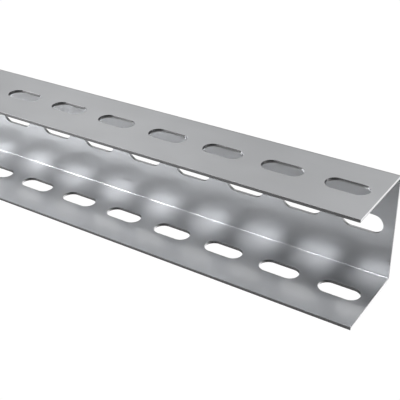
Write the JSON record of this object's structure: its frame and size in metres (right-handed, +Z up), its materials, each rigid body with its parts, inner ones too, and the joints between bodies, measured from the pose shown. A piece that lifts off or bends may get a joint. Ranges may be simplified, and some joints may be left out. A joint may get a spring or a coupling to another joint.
{
  "type": "perforated u-channel",
  "caption": "Length of folded sheet-steel U-channel with a straight row of long round-ended slots along the web and along each flange.",
  "frame": {"origin": "middle of the underside of the lower flange, centred on the overall box", "axes": "+X along the stock, +Y from the open edges towards the web, +Z up from the lower flange to the upper"},
  "size_m": [1, 0.07, 0.09],
  "materials": {
    "zinc_coated_steel": "smooth satin zinc coating, plain mill surface, bare cut edges"
  },
  "bodies": {
    "root": {"u_channel": "zinc_coated_steel"}
  },
  "joints": []
}
